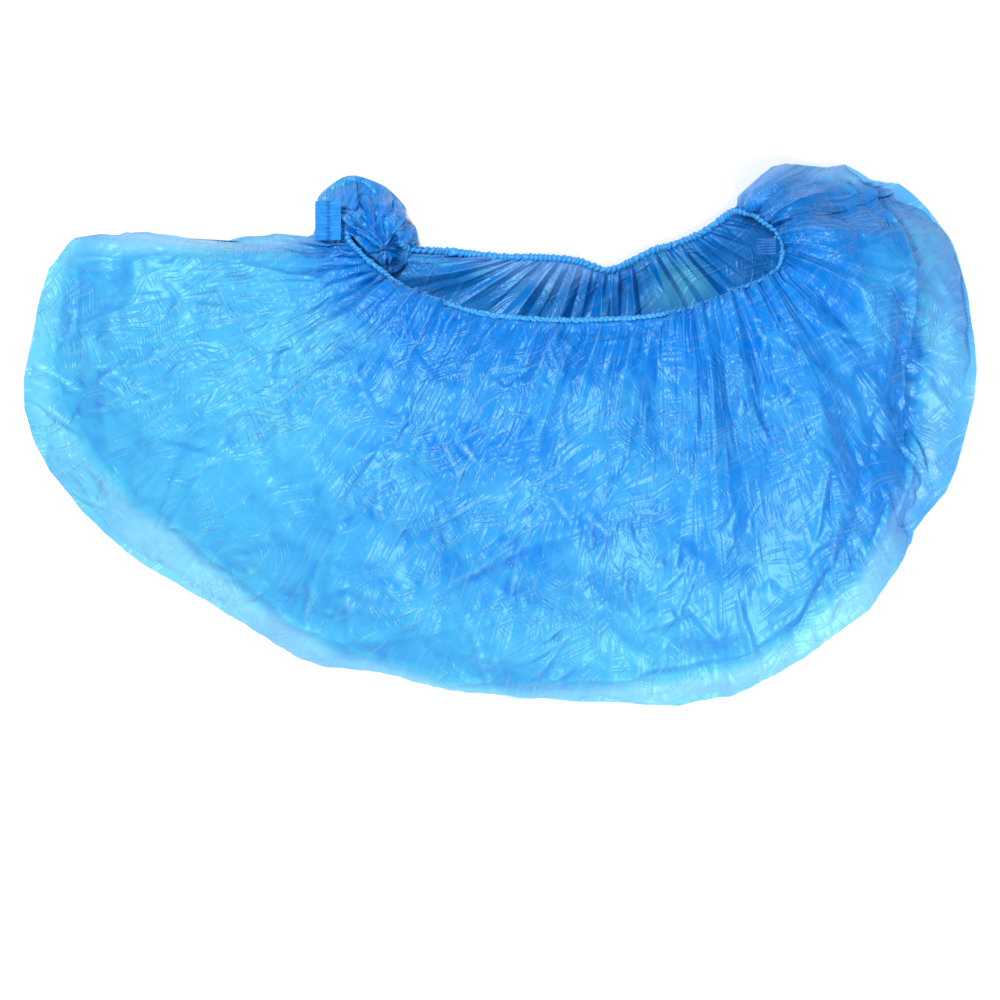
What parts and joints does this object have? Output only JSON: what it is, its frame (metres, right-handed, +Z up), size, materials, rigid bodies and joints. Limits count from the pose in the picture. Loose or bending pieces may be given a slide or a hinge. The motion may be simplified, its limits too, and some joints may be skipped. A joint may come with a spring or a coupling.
{
  "type": "shoe cover",
  "caption": "Disposable film overshoe lying on its side, hollow, with a gathered elastic mouth, a ribbed hem bead and pressed seal tabs.",
  "frame": {"origin": "on the ground plane under the middle of the cover's outline", "axes": "+X from the toe to the heel, +Y from the sole fold to the mouth, +Z up from the back wall it lies on"},
  "size_m": [0.4, 0.2277, 0.0429],
  "materials": {
    "blue_film": "glossy crumpled see-through film",
    "gathered_hem": "ribbed, film gathered over elastic",
    "pressed_film": "heat pressed film, ribbed"
  },
  "bodies": {
    "root": {"film_bag": "blue_film", "elastic_hem": "gathered_hem", "toe_seal_tab": "pressed_film", "heel_seal_tab": "pressed_film"}
  },
  "joints": []
}
